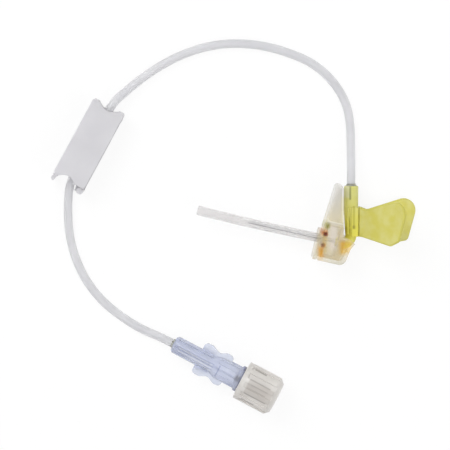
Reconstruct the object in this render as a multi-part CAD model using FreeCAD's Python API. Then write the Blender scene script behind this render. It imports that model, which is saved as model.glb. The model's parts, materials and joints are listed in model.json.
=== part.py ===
import FreeCAD, Part
import math
import os

# A safety huber needle set for an implanted port, lying on its side as it rests on a table.
# Lengths are millimetres and angles are degrees.
# The origin is on the table, under the needle's axis, in the side face that the guard lies on.
# +Y runs up the hub to its tubing, +X away from the needle's point, and +Z up from the table.

V = FreeCAD.Vector

# Steel cannula, 20 gauge
NEEDLE_OD = 0.9
NEEDLE_BORE = 0.6
NEEDLE_REACH = 20.3
NEEDLE_BEND = 2.2
NEEDLE_LEAN = 12.8
POINT_CURVE_RADIUS = 5.0
POINT_CURVE_ANGLE = 20.0
BEVEL_LENGTH = 2.6
CANNULA_IN_TUBE = 4.6

# Yellow hub
HUB_X = 4.8
HUB_RADIUS = 2.05
HUB_TOP = 15.85
HUB_WAIST = 8.6
HUB_EDGE = 0.25
ELBOW_RADIUS = 1.6
PEDESTAL_RADIUS = 1.15
PEDESTAL_END = 0.3
SOCKET_DEPTH = 5.0
SOCKET_GAP = 0.03
GLUE_GAP = 0.02
RIB_WIDTH = 0.45
RIB_PROUD = 0.2
RIB_PLACES = (-0.95, 0.6)
WING_BLOCK_LENGTH = 8.3
WING_BLOCK_BOTTOM = 1.5
WING_BLOCK_HALF = 2.5
WING_BLOCK_TONGUE = 0.5

# Yellow wings, with the places of their corners out from the fold and past the root's ends
WING_AXIS_X = 7.5
WING_AXIS_OFFSET = 1.35
WING_HEEL_OUT = 10.8
WING_HEEL_DROP = 2.1
WING_TOE_OUT = 13.7
WING_TOE_DROP = 1.6
WING_TIP_OUT = 17.5
WING_TIP_RISE = 3.8
WING_TIP_ROUND = 3.5
WING_NECK_OUT = 2.1
WING_NECK_DIP = 0.8
WING_NECK_ROUND = 1.5
WING_TOE_ROUND = 1.4
WING_CORNER = 0.9
WING_THICK = 0.9
WING_RIM = 0.12
WING_RIM_WIDTH = 0.9
WING_BEAD = 0.72
WING_BEAD_GAP = 0.15
WING_SWING_ROOM = 0.7
UPPER_WING_ANGLE = 43.0
TABLE_CLEARANCE = 0.03

# Clear guard housing, the width across is also how high the needle lies above the table
GUARD_WIDTH = 10.0
CHEEK = 0.9
GUARD_WALL = 1.0
GUARD_FRONT = 4.15
GUARD_FLOOR = 5.9
GUARD_BACK = 4.0
GUARD_HEEL = 4.75
GUARD_HEEL_DROP = 0.9
GUARD_LIP = 5.65
GUARD_LIP_RISE = 0.85
GUARD_NOTCH = 4.6
GUARD_NOTCH_RISE = 1.65
GUARD_THROAT_RISE = 3.6
TAB_TOP = 16.1
TAB_LEAN = 0.95
TAB_WEB = 1.0
CHAMBER_TOP = 4.7
CHAMBER_BACK_WALL = 0.25
HUB_GAP = 0.25
GUARD_SHARP = 0.25
GUARD_CORNER = 0.6
GUARD_ROUND = 2.0
TAB_CORNER = 0.9

# Clear foot plate on the skin side
FOOT_THICK = 1.0
FOOT_BOTTOM = 6.0
FOOT_TOP = 2.65
FOOT_CORNER = 1.5
FOOT_PLUG = 0.35
FOOT_PLUG_GAP = 0.08
NEEDLE_HOLE_GAP = 0.35

# Orange latch clip
CLIP_LEAF = 0.6
CLIP_WIDTH = 4.8
CLIP_SPINE = 0.9
CLIP_SPINE_AT = 0.8
CLIP_SEAT_GAP = 0.05
CLIP_BLOCK_TOP = 1.35
CLIP_BLOCK_GAP = 0.12
CLIP_BLOCK_HEEL = 0.4
CLIP_CORNER = 0.3
CLIP_ROUND = 0.7
BEAD_RADIUS = 0.7
BEAD_FROM_AXIS = 1.6
CLIP_HUB_GAP = 0.32

# Clear sheath over the needle, a little wider at its open end
SHEATH_OD = 2.55
SHEATH_TIP_OD = 2.8
SHEATH_BORE = 1.7
SHEATH_LENGTH = 35.6
SHEATH_SEAT = 0.8
SHEATH_GAP = 0.05

# Clear tubing
TUBE_OD = 2.45
TUBE_BORE = 1.4
TUBE_ON_TABLE = 1.25

# White pinch clamp, with its middle and turn on the table
CLAMP_X = -70.15
CLAMP_Y = 26.95
CLAMP_TURN = 61.4
CLAMP_HALF_LENGTH = 13.0
CLAMP_HALF_WIDTH = 4.95
STRIP_THICK = 1.2
CLAMP_TUBE_HEIGHT = 3.3
CLAMP_CORNER = 0.7
DEEP_NOTCH_RADIUS = 3.3
DEEP_NOTCH_OUTSIDE = 0.1
DEEP_NOTCH_SIDE = 0.75
WIDE_NOTCH_RADIUS = 4.6
WIDE_NOTCH_OUTSIDE = 3.3
CLAMP_HINGE_FROM_END = 1.2
CLAMP_HINGE_HEIGHT = 6.0
CLAMP_HINGE_BEAD = 0.7
CLAMP_HINGE_GAP = 0.15
HINGE_WALL_THICK = 2.2
HINGE_WALL_HEIGHT = 5.5
LEVER_OPEN_ANGLE = 5.0
LEVER_DROP = 0.2
LEVER_TO_POST = 0.3
JAW_WIDTH = 2.4
JAW_EDGE = 0.8
JAW_GAP = 0.04
JAW_REACH = 2.05
JAW_ROUND = 0.3
POST_THICK = 1.7
POST_WIDTH = 1.9
POST_HEIGHT = 5.9
POST_LIP = 0.2
CLAMP_HOLE_GAP = 0.22

# Lavender luer connector
LUER_X = -45.75
LUER_Y = -29.95
LUER_TURN = -27.0
LUER_BARREL_RADIUS = 2.55
LUER_BARREL_LENGTH = 12.6
LUER_EDGE = 0.5
LUER_REAR_RADIUS = 3.2
LUER_REAR_START = 14.3
LUER_STOP_AT = 21.0
LUER_STOP_THICK = 0.8
LUER_STOP_RADIUS = 3.9
LUER_NOSE_RADIUS = 2.9
LUER_LENGTH = 28.0
LUER_SOCKET_DEPTH = 6.0
LUER_LUMEN = 1.4
LUER_MOUTH_BORE = 4.3
LUER_TAPER_DEPTH = 7.5
LUER_TAPER = 0.06
LUG_RADIUS = 3.9
LUG_THICK = 1.1
LUG_WIDTH = 3.4
FLUTE_COUNT = 8
FLUTE_WIDTH = 0.55
FLUTE_DEPTH = 0.3
REAR_RIB_COUNT = 12
REAR_RIB_WIDTH = 0.35
REAR_RIB_PROUD = 0.18
EAR_START = 8.1
EAR_WAIST = 12.9
EAR_END = 17.3
EAR_LOBE_FRONT = 2.4
EAR_LOBE_REAR = 2.3
EAR_HALF_SPAN = 4.85
EAR_DIP = 1.15
EAR_TAPER = 0.2
EAR_FRONT_ROUND = 1.1
EAR_LOBE_ROUND = 1.4
EAR_WAIST_ROUND = 1.6
EAR_REAR_ROUND = 1.0
EAR_THICK = 1.4

# White cap screwed on the luer
CAP_RADIUS = 5.7
CAP_MOUTH_AT = 22.2
CAP_LENGTH = 11.2
CAP_BAND = 1.5
CAP_CAVITY_RADIUS = 4.25
CAP_CAVITY_DEPTH = 8.4
CAP_END_CHAMFER = 1.3
CAP_GROOVE_COUNT = 12
CAP_GROOVE_WIDTH = 1.5
CAP_GROOVE_DEPTH = 0.4
CONE_GAP = 0.08
CONE_SHORT = 1.0

# How far a cutting shape runs on past what it cuts
PAST = 1.0

# Values that follow from the driving dimensions
MID = GUARD_WIDTH / 2
LEAN = math.radians(NEEDLE_LEAN)
TO_POINT = V(-math.cos(LEAN), math.sin(LEAN), 0)
TO_TAB = V(math.sin(LEAN), math.cos(LEAN), 0)
FOOT_FACE = GUARD_FRONT + FOOT_THICK
POINT_AT = FOOT_FACE + NEEDLE_REACH
BEND_CENTRE_X = HUB_X - NEEDLE_BEND
BEND_CENTRE_Y = (NEEDLE_BEND - BEND_CENTRE_X * math.sin(LEAN)) / math.cos(LEAN)
BEND_ALONG = BEND_CENTRE_X * math.cos(LEAN) - BEND_CENTRE_Y * math.sin(LEAN)
GUARD_SIDE_X = HUB_X - HUB_RADIUS - HUB_GAP
GUARD_SHELF = ELBOW_RADIUS + CLIP_HUB_GAP
GUARD_MOUTH_TOP = BEAD_FROM_AXIS + BEAD_RADIUS + CLIP_BLOCK_GAP
PITCH = math.atan((CAP_RADIUS - LUER_BARREL_RADIUS) / (CAP_MOUTH_AT - LUER_EDGE))
LUER_START = V(LUER_X, LUER_Y, LUER_BARREL_RADIUS * math.cos(PITCH) - LUER_EDGE * math.sin(PITCH))
LEVER_LENGTH = 2 * CLAMP_HALF_LENGTH - POST_THICK - LEVER_TO_POST
CLAMP_HINGE_S = CLAMP_HALF_LENGTH - CLAMP_HINGE_FROM_END


def rounded(corners):
    """Return a closed wire through (x, y, radius) corners, with an arc at each that has a radius."""
    count = len(corners)
    cuts = []
    for index, (x, y, radius) in enumerate(corners):
        here = V(x, y, 0)
        before = V(corners[index - 1][0], corners[index - 1][1], 0) - here
        after = V(corners[(index + 1) % count][0], corners[(index + 1) % count][1], 0) - here
        half = before.getAngle(after) / 2
        reach = min(radius / math.tan(half), 0.49 * before.Length, 0.49 * after.Length)
        radius = reach * math.tan(half)
        before.normalize()
        after.normalize()
        inward = before + after
        if radius:
            inward.normalize()
        middle = here + inward * (radius / math.sin(half) - radius)
        cuts.append((here + before * reach, middle, here + after * reach, radius))
    edges = []
    for index, (start, middle, end, radius) in enumerate(cuts):
        if radius:
            edges.append(Part.Arc(start, middle, end).toShape())
        following = cuts[(index + 1) % count][0]
        edges.append(Part.LineSegment(end, following).toShape())
    return Part.Wire(edges)


def plate(corners, height, base=0):
    """Return a flat piece with the given outline, from z = base upwards."""
    solid = Part.Face(rounded(corners)).extrude(V(0, 0, height))
    solid.translate(V(0, 0, base))
    return solid


def square(x0, y0, x1, y1, radius=0):
    """Return the corners of a rectangle, all rounded alike."""
    return [(x0, y0, radius), (x1, y0, radius), (x1, y1, radius), (x0, y1, radius)]


def block(low, high):
    """Return a box between two corners."""
    size = V(*high) - V(*low)
    return Part.makeBox(size.x, size.y, size.z, V(*low))


def turned(profile):
    """Return the solid that (along, radius) points sweep round the X axis."""
    points = [V(along, radius, 0) for along, radius in profile]
    points = [V(profile[0][0], 0, 0)] + points + [V(profile[-1][0], 0, 0)]
    face = Part.Face(Part.makePolygon(points + [points[0]]))
    return face.revolve(V(0, 0, 0), V(1, 0, 0), 360)


def sweep(edges, radius):
    """Return a round bar of the given radius along a chain of edges."""
    path = Part.Wire(edges)
    first = path.Edges[0]
    start = first.valueAt(first.FirstParameter)
    along = first.tangentAt(first.FirstParameter)
    ring = Part.Wire(Part.makeCircle(radius, start, along))
    return path.makePipeShell([ring], True, True)


def joined(pieces):
    """Return the pieces fused into one, with seams between like faces removed."""
    return pieces[0].multiFuse(pieces[1:]).removeSplitter()


def spun(shape, count):
    """Return copies of a shape, evenly spaced round the X axis."""
    copies = []
    for index in range(count):
        copy = shape.copy()
        copy.rotate(V(0, 0, 0), V(1, 0, 0), 360 * index / count)
        copies.append(copy)
    return copies


def leaned(shape):
    """Turn a shape from the needle's own axes, +X away from the point, to the part's axes."""
    shape.rotate(V(0, 0, 0), V(0, 0, 1), -NEEDLE_LEAN)
    return shape


def needle_axes(x, y):
    """Return where a place in plan lies along the needle's axis and square to it."""
    along = x * math.cos(LEAN) - y * math.sin(LEAN)
    across = x * math.sin(LEAN) + y * math.cos(LEAN)
    return along, across


def bend_arc():
    """Return the cannula's bend in the hub, from the hub's axis to the needle's."""
    centre = V(BEND_CENTRE_X, BEND_CENTRE_Y, MID)
    half = math.radians(90 + NEEDLE_LEAN) / 2
    start = centre + V(NEEDLE_BEND, 0, 0)
    middle = centre + V(math.cos(half), -math.sin(half), 0) * NEEDLE_BEND
    end = centre - TO_TAB * NEEDLE_BEND
    return Part.Arc(start, middle, end).toShape(), start, end


def point_end(angle):
    """Return the place on the curved point where it has turned by an angle."""
    turn = math.radians(angle)
    along = POINT_AT - POINT_CURVE_RADIUS * (math.sin(math.radians(POINT_CURVE_ANGLE)) - math.sin(turn))
    rise = POINT_CURVE_RADIUS * (1 - math.cos(turn))
    return TO_POINT * along + TO_TAB * rise + V(0, 0, MID)


def make_cannula():
    """Steel tube, bent in the hub, with its curved point ground so that its side is open."""
    bend, bend_start, bend_end = bend_arc()
    top = V(HUB_X, HUB_TOP - SOCKET_DEPTH + CANNULA_IN_TUBE, MID)
    edges = [
        Part.LineSegment(top, bend_start).toShape(),
        bend,
        Part.LineSegment(bend_end, point_end(0)).toShape(),
        Part.Arc(point_end(0), point_end(POINT_CURVE_ANGLE / 2), point_end(POINT_CURVE_ANGLE)).toShape(),
    ]
    tube = sweep(edges, NEEDLE_OD / 2).cut(sweep(edges, NEEDLE_BORE / 2))
    wall = (NEEDLE_OD - NEEDLE_BORE) / 2
    turn = math.radians(POINT_CURVE_ANGLE)
    rise = POINT_CURVE_RADIUS * (1 - math.cos(turn)) - NEEDLE_OD / 2 * math.cos(turn)
    far = POINT_AT + NEEDLE_OD
    bevel = plate([
        (-POINT_AT + BEVEL_LENGTH, NEEDLE_OD / 2, 0),
        (-POINT_AT + BEVEL_LENGTH, NEEDLE_OD * 2, 0),
        (-far, NEEDLE_OD * 2, 0),
        (-far, rise + wall / 2, 0),
    ], 2 * NEEDLE_OD, MID - NEEDLE_OD)
    return tube.cut(leaned(bevel))


def wing_hinges():
    """Return the height of each wing's fold above the table, upper first."""
    return MID + WING_AXIS_OFFSET, MID - WING_AXIS_OFFSET


def make_hub():
    """Moulded hub: tube socket, ribbed barrel, elbow, pedestal and the block that roots the wings."""
    bend, bend_start, bend_end = bend_arc()
    barrel = turned([
        (bend_start.y, ELBOW_RADIUS),
        (HUB_WAIST, HUB_RADIUS),
        (HUB_TOP - HUB_EDGE, HUB_RADIUS),
        (HUB_TOP, HUB_RADIUS - HUB_EDGE),
    ])
    barrel.rotate(V(0, 0, 0), V(0, 0, 1), 90)
    barrel.translate(V(HUB_X, 0, MID))
    pedestal = turned([(PEDESTAL_END, PEDESTAL_RADIUS), (BEND_ALONG, ELBOW_RADIUS)])
    pedestal.translate(V(0, 0, MID))
    wing_top = WING_BLOCK_BOTTOM + WING_BLOCK_LENGTH
    root = block(
        (HUB_X, WING_BLOCK_BOTTOM, MID - WING_BLOCK_HALF),
        (WING_AXIS_X + WING_BLOCK_TONGUE, wing_top, MID + WING_BLOCK_HALF),
    )
    pieces = [barrel, sweep([bend], ELBOW_RADIUS), leaned(pedestal), root]
    for place in RIB_PLACES:
        half = HUB_RADIUS + RIB_PROUD
        low = (HUB_X + place - RIB_WIDTH / 2, bend_start.y + RIB_WIDTH, MID - half)
        high = (HUB_X + place + RIB_WIDTH / 2, wing_top, MID + half)
        pieces.append(block(low, high))
    hub = joined(pieces)
    for height in wing_hinges():
        side = 1 if height > MID else -1
        corner = height - side * WING_SWING_ROOM
        low, high = sorted((corner, MID + side * WING_BLOCK_HALF * 2))
        far = WING_AXIS_X + WING_BLOCK_TONGUE * 2
        start = WING_BLOCK_BOTTOM - WING_BEAD_GAP
        end = wing_top + WING_BEAD_GAP
        swing = block((WING_AXIS_X - WING_SWING_ROOM, start, low), (far, end, high))
        groove = Part.makeCylinder(
            WING_BEAD + WING_BEAD_GAP, end - start, V(WING_AXIS_X, start, height), V(0, 1, 0))
        hub = hub.cut(swing.fuse(groove))
    socket = Part.makeCylinder(
        TUBE_OD / 2 + SOCKET_GAP, SOCKET_DEPTH * 2, V(HUB_X, HUB_TOP - SOCKET_DEPTH, MID), V(0, 1, 0))
    top = V(HUB_X, HUB_TOP * 2, MID)
    far = TO_POINT * POINT_AT + V(0, 0, MID)
    edges = [
        Part.LineSegment(top, bend_start).toShape(),
        bend,
        Part.LineSegment(bend_end, far).toShape(),
    ]
    return hub.cut(socket).cut(sweep(edges, NEEDLE_OD / 2 + GLUE_GAP))


def make_wing(height, angle):
    """One flexible wing: a plate with a raised rim and a round root that it folds about."""
    length = WING_BLOCK_LENGTH
    corners = [
        (0, 0, 0),
        (WING_HEEL_OUT, -WING_HEEL_DROP, WING_CORNER),
        (WING_TOE_OUT, -WING_TOE_DROP, WING_TOE_ROUND),
        (WING_TIP_OUT, length + WING_TIP_RISE, WING_TIP_ROUND),
        (WING_NECK_OUT, length - WING_NECK_DIP, WING_NECK_ROUND),
        (0, length, 0),
    ]
    half = WING_THICK / 2
    rim_face = Part.Face(rounded(corners))
    inner = rim_face.makeOffset2D(-WING_RIM_WIDTH)
    whole = rim_face.extrude(V(0, 0, WING_THICK + 2 * WING_RIM))
    whole.translate(V(0, 0, -half - WING_RIM))
    past_root = block((WING_BEAD * 2, -length, -length), (WING_TIP_OUT * 2, length * 3, length))
    for base in (half, -half - WING_RIM * 2):
        pocket = inner.extrude(V(0, 0, WING_RIM * 2))
        pocket.translate(V(0, 0, base))
        whole = whole.cut(pocket.common(past_root))
    bead = Part.makeCylinder(WING_BEAD, length, V(0, 0, 0), V(0, 1, 0))
    wing = joined([whole, bead])
    wing.rotate(V(0, 0, 0), V(0, 1, 0), -angle)
    wing.translate(V(WING_AXIS_X, WING_BLOCK_BOTTOM, height))
    return wing


def lower_wing_angle():
    """Return how far the lower wing hangs down, with its edge resting on the table."""
    height = wing_hinges()[1] - TABLE_CLEARANCE
    tip = make_wing(0, 0).BoundBox.XMax - WING_AXIS_X
    half = WING_THICK / 2 + WING_RIM
    down = math.asin(height / math.hypot(tip, half)) - math.atan(half / tip)
    return -math.degrees(down)


def guard_outline():
    """Return the corners of the guard's side view."""
    top_right = needle_axes(GUARD_SIDE_X, TAB_TOP)
    elbow = needle_axes(GUARD_SIDE_X, BEND_CENTRE_Y)
    front = -GUARD_FRONT
    return [
        (front, -GUARD_FLOOR, GUARD_CORNER),
        (GUARD_BACK, -GUARD_FLOOR, GUARD_ROUND),
        (GUARD_HEEL, -GUARD_HEEL_DROP, GUARD_ROUND / 2),
        (GUARD_LIP, GUARD_LIP_RISE, GUARD_SHARP),
        (GUARD_NOTCH, GUARD_NOTCH_RISE, GUARD_SHARP),
        (elbow[0], elbow[1], GUARD_SHARP),
        (top_right[0], TAB_TOP, TAB_CORNER),
        (front + TAB_LEAN, TAB_TOP, TAB_CORNER),
        (front, GUARD_THROAT_RISE, GUARD_ROUND),
    ]


def make_guard_shell():
    """Clear moulded housing: two cheeks joined by the front, floor, back and the finger tab."""
    shell = plate(guard_outline(), GUARD_WIDTH)
    inner = GUARD_WIDTH - 2 * CHEEK
    past = GUARD_LIP * 2
    front = -GUARD_FRONT
    chamber = plate([
        (front - GUARD_WALL, -GUARD_FLOOR + GUARD_WALL, 0),
        (GUARD_BACK - GUARD_WALL, -GUARD_FLOOR + GUARD_WALL, GUARD_ROUND / 2),
        (GUARD_BACK - CHAMBER_BACK_WALL, -GUARD_SHELF, 0),
        (past, -GUARD_SHELF, 0),
        (past, CHAMBER_TOP, 0),
        (front + GUARD_WALL, CHAMBER_TOP, GUARD_CORNER),
        (front + GUARD_WALL, GUARD_MOUTH_TOP, 0),
        (front - GUARD_WALL, GUARD_MOUTH_TOP, 0),
    ], inner, CHEEK)
    pocket = plate([
        (front + GUARD_WALL, CHAMBER_TOP + TAB_WEB, GUARD_CORNER),
        (past, CHAMBER_TOP + TAB_WEB, 0),
        (past, TAB_TOP - GUARD_WALL, 0),
        (front + GUARD_WALL + TAB_LEAN, TAB_TOP - GUARD_WALL, TAB_CORNER),
    ], inner, CHEEK)
    return leaned(shell.cut(chamber).cut(pocket))


def make_foot_plate():
    """Clear plate that closes the guard on the skin side and takes the sheath's end."""
    corners = square(-FOOT_BOTTOM, 0, FOOT_TOP, GUARD_WIDTH, FOOT_CORNER)
    foot = plate(corners, FOOT_THICK)
    inset = CHEEK + FOOT_PLUG_GAP
    low = -GUARD_FLOOR + GUARD_WALL + FOOT_PLUG_GAP
    high = GUARD_MOUTH_TOP - FOOT_PLUG_GAP
    plug = plate(square(low, inset, high, GUARD_WIDTH - inset), FOOT_PLUG, FOOT_THICK)
    hole = Part.makeCylinder(NEEDLE_OD / 2 + NEEDLE_HOLE_GAP, FOOT_THICK * 4, V(0, MID, -FOOT_THICK))
    seat = Part.makeCylinder(SHEATH_OD / 2 + SHEATH_GAP, SHEATH_SEAT * 2, V(0, MID, -SHEATH_SEAT))
    foot = joined([foot, plug]).cut(hole).cut(seat)
    foot.transformShape(FreeCAD.Matrix(0, 0, 1, -FOOT_FACE, 1, 0, 0, 0, 0, 1, 0, 0), True)
    return leaned(foot)


def make_latch_clip():
    """Orange clip: a spine with a hole for the hub, a seat block, and two leaves with jaw beads."""
    floor = -GUARD_FLOOR + GUARD_WALL + CLIP_SEAT_GAP
    top = CHAMBER_TOP - CLIP_SEAT_GAP
    low = CHEEK + CLIP_SEAT_GAP
    wide = GUARD_WIDTH - 2 * low
    front = -GUARD_FRONT + GUARD_WALL + CLIP_SEAT_GAP
    back = GUARD_BACK - GUARD_WALL - CLIP_BLOCK_GAP
    spine_end = CLIP_SPINE_AT + CLIP_SPINE
    spine = plate(square(CLIP_SPINE_AT, floor, spine_end, top), wide, low)
    seat = plate([
        (CLIP_SPINE_AT, floor, 0),
        (back - CLIP_BLOCK_HEEL, floor, GUARD_ROUND / 2),
        (back, -GUARD_SHELF, CLIP_CORNER),
        (back, CLIP_BLOCK_TOP, CLIP_CORNER),
        (CLIP_SPINE_AT, CLIP_BLOCK_TOP, 0),
    ], wide, low)
    leaf_low = MID - CLIP_WIDTH / 2
    pieces = [spine, seat]
    for side, end in ((-1, floor), (1, top)):
        inner = end - side * CLIP_LEAF
        bead_at = side * BEAD_FROM_AXIS
        root = [(spine_end, end, 0), (spine_end, inner, 0)]
        bend = [
            (front + CLIP_LEAF, inner, CLIP_CORNER),
            (front + CLIP_LEAF, bead_at, 0),
            (front, bead_at, 0),
            (front, end, CLIP_ROUND),
        ]
        pieces.append(plate(root + bend, CLIP_WIDTH, leaf_low))
        bead = V(front + CLIP_LEAF / 2, bead_at, leaf_low)
        pieces.append(Part.makeCylinder(BEAD_RADIUS, CLIP_WIDTH, bead))
    clip = joined(pieces)
    gap = ELBOW_RADIUS + CLIP_HUB_GAP
    room = Part.makeCylinder(gap, 4 * gap, V(-gap, 0, MID), V(1, 0, 0))
    passage = block((spine_end, -gap, MID - gap), (3 * GUARD_LIP, 2 * CHAMBER_TOP, MID + gap))
    return leaned(clip.cut(room).cut(passage))


def make_sheath():
    """Clear tube pushed over the needle, a little wider at its open end."""
    start = FOOT_FACE - SHEATH_SEAT
    end = start + SHEATH_LENGTH
    outer = turned([(start, SHEATH_OD / 2), (end, SHEATH_TIP_OD / 2)])
    bore = turned([(start - PAST, SHEATH_BORE / 2), (end + PAST, SHEATH_BORE / 2)])
    sheath = outer.cut(bore)
    sheath.rotate(V(0, 0, 0), V(0, 0, 1), 180)
    sheath.translate(V(0, 0, MID))
    return leaned(sheath)


def on_clamp(along, height):
    """Return the place that far along the clamp's middle and above the table."""
    turn = math.radians(CLAMP_TURN)
    return V(CLAMP_X + along * math.cos(turn), CLAMP_Y + along * math.sin(turn), height)


def on_luer(along):
    """Return the place that far along the luer's axis."""
    turn = math.radians(LUER_TURN)
    flat = along * math.cos(PITCH)
    return LUER_START + V(flat * math.cos(turn), flat * math.sin(turn), along * math.sin(PITCH))


def tube_route():
    """Return the points of the tubing's route, from the hub's socket to the luer's."""
    low = TUBE_ON_TABLE
    return [
        V(HUB_X, HUB_TOP - SOCKET_DEPTH, MID),
        V(HUB_X, 19.0, MID),
        V(5.05, 26.8, 2.2),
        V(4.65, 35.0, low),
        V(2.85, 40.8, low),
        V(-0.75, 46.1, low),
        V(-5.9, 50.6, low),
        V(-12.55, 53.55, low),
        V(-20.35, 55.7, low),
        V(-29.3, 56.45, low),
        V(-38.0, 55.1, low),
        V(-46.25, 51.85, low),
        V(-53.5, 47.4, low),
        V(-59.25, 42.7, 1.9),
        on_clamp(13.4, CLAMP_TUBE_HEIGHT),
        on_clamp(-10.8, CLAMP_TUBE_HEIGHT),
        V(-76.1, 10.3, 1.6),
        V(-75.8, 2.05, low),
        V(-74.15, -4.9, low),
        V(-71.05, -11.8, low),
        V(-66.2, -18.2, low),
        V(-59.85, -23.25, low),
        V(-54.4, -26.35, 1.35),
        on_luer(-3.6),
        on_luer(LUER_SOCKET_DEPTH),
    ]


def route_edges(points):
    """Return straight runs joined by the largest tangent arcs that the runs allow, and the radii."""
    edges = []
    radii = []
    last = points[0]
    for before, here, after in zip(points, points[1:], points[2:]):
        to_before = before - here
        to_after = after - here
        reach = 0.45 * min(to_before.Length, to_after.Length)
        half = to_before.getAngle(to_after) / 2
        radius = reach * math.tan(half)
        to_before.normalize()
        to_after.normalize()
        inward = to_before + to_after
        inward.normalize()
        start = here + to_before * reach
        middle = here + inward * (radius / math.sin(half) - radius)
        end = here + to_after * reach
        edges.append(Part.LineSegment(last, start).toShape())
        edges.append(Part.Arc(start, middle, end).toShape())
        radii.append(radius)
        last = end
    edges.append(Part.LineSegment(last, points[-1]).toShape())
    return edges, radii


def make_tubing():
    """Clear tubing from the hub to the luer, through the clamp."""
    edges, radii = route_edges(tube_route())
    length = sum(edge.Length for edge in edges)
    tube = sweep(edges, TUBE_OD / 2).cut(sweep(edges, TUBE_BORE / 2))
    section = math.pi * (TUBE_OD ** 2 - TUBE_BORE ** 2) / 4
    print("tubing length", round(length, 1), "smallest radius", round(min(radii), 1))
    print("tubing radii", [round(radius) for radius in radii])
    print("tubing volume over section times length", round(tube.Volume / section / length, 4))
    return tube


def clamp_ends(shape):
    """Cut the rounded notches in both ends of a clamp piece."""
    tall = CLAMP_HINGE_HEIGHT * 4
    deep = V(-CLAMP_HALF_LENGTH - DEEP_NOTCH_OUTSIDE, DEEP_NOTCH_SIDE, -tall / 2)
    wide = V(CLAMP_HALF_LENGTH + WIDE_NOTCH_OUTSIDE, 0, -tall / 2)
    shape = shape.cut(Part.makeCylinder(DEEP_NOTCH_RADIUS, tall, deep))
    return shape.cut(Part.makeCylinder(WIDE_NOTCH_RADIUS, tall, wide))


def jaw(middle, height):
    """Return a pinching ridge across the clamp, with its edge that far above z = 0."""
    profile = plate([
        (-JAW_WIDTH / 2, 0, 0),
        (JAW_WIDTH / 2, 0, 0),
        (JAW_EDGE / 2, height, JAW_ROUND),
        (-JAW_EDGE / 2, height, JAW_ROUND),
    ], 2 * CLAMP_HALF_WIDTH - 2 * CLAMP_CORNER, -CLAMP_HALF_WIDTH + CLAMP_CORNER)
    profile.rotate(V(0, 0, 0), V(1, 0, 0), 90)
    profile.translate(V(middle, 0, 0))
    return profile


def placed_clamp(shape):
    """Turn and move a clamp piece to where the clamp lies."""
    shape.rotate(V(0, 0, 0), V(0, 0, 1), CLAMP_TURN)
    shape.translate(V(CLAMP_X, CLAMP_Y, 0))
    return shape


def make_clamp_base():
    """White bottom strip with its hinge wall, lower jaw and the two latch posts."""
    length = CLAMP_HALF_LENGTH
    width = CLAMP_HALF_WIDTH
    strip = plate(square(-length, -width, length, width, CLAMP_CORNER), STRIP_THICK)
    wall = plate(square(length - HINGE_WALL_THICK, -width, length, width, CLAMP_CORNER), HINGE_WALL_HEIGHT)
    lower_jaw = jaw(0, CLAMP_TUBE_HEIGHT - TUBE_OD / 2 - JAW_GAP)
    pieces = [strip, wall, lower_jaw]
    for side in (-1, 1):
        near, far = sorted((side * (width - POST_WIDTH), side * width))
        pieces.append(plate(square(-length, near, -length + POST_THICK, far, CLAMP_CORNER), POST_HEIGHT))
        lip = block(
            (-length + POST_THICK - CLAMP_CORNER, near + CLAMP_CORNER, POST_HEIGHT - POST_LIP * 3),
            (-length + POST_THICK + POST_LIP, far - CLAMP_CORNER, POST_HEIGHT),
        )
        pieces.append(lip)
    base = clamp_ends(joined(pieces))
    hinge = V(CLAMP_HINGE_S, -width * 2, CLAMP_HINGE_HEIGHT)
    groove = Part.makeCylinder(CLAMP_HINGE_BEAD + CLAMP_HINGE_GAP, width * 4, hinge, V(0, 1, 0))
    across = V(length - HINGE_WALL_THICK * 2, 0, CLAMP_TUBE_HEIGHT)
    hole = Part.makeCylinder(TUBE_OD / 2 + CLAMP_HOLE_GAP, HINGE_WALL_THICK * 4, across, V(1, 0, 0))
    return placed_clamp(base.cut(groove).cut(hole))


def make_clamp_lever():
    """White top strip with the upper jaw, folded back over the tubing from its hinge bead."""
    width = CLAMP_HALF_WIDTH
    low = CLAMP_HINGE_HEIGHT - LEVER_DROP
    end = CLAMP_HALF_LENGTH - LEVER_LENGTH
    strip = plate(square(end, -width, CLAMP_HALF_LENGTH, width, CLAMP_CORNER), STRIP_THICK, low)
    upper_jaw = jaw(0, JAW_REACH)
    upper_jaw.rotate(V(0, 0, 0), V(1, 0, 0), 180)
    upper_jaw.translate(V(0, 0, low))
    hinge = V(CLAMP_HINGE_S, -width + CLAMP_CORNER, CLAMP_HINGE_HEIGHT)
    bead = Part.makeCylinder(CLAMP_HINGE_BEAD, 2 * width - 2 * CLAMP_CORNER, hinge, V(0, 1, 0))
    lever = clamp_ends(joined([strip, upper_jaw, bead]))
    lever.rotate(V(CLAMP_HINGE_S, 0, CLAMP_HINGE_HEIGHT), V(0, 1, 0), LEVER_OPEN_ANGLE)
    return placed_clamp(lever)


def placed_luer(shape):
    """Tilt, turn and move a shape from the luer's own axis, +X towards its mouth."""
    shape.rotate(V(0, 0, 0), V(0, 1, 0), -math.degrees(PITCH))
    shape.rotate(V(0, 0, 0), V(0, 0, 1), LUER_TURN)
    shape.translate(LUER_START)
    return shape


def luer_bore(along):
    """Return the radius of the luer's tapered bore at a place along its axis."""
    return LUER_MOUTH_BORE / 2 - (LUER_LENGTH - along) * LUER_TAPER / 2


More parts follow.
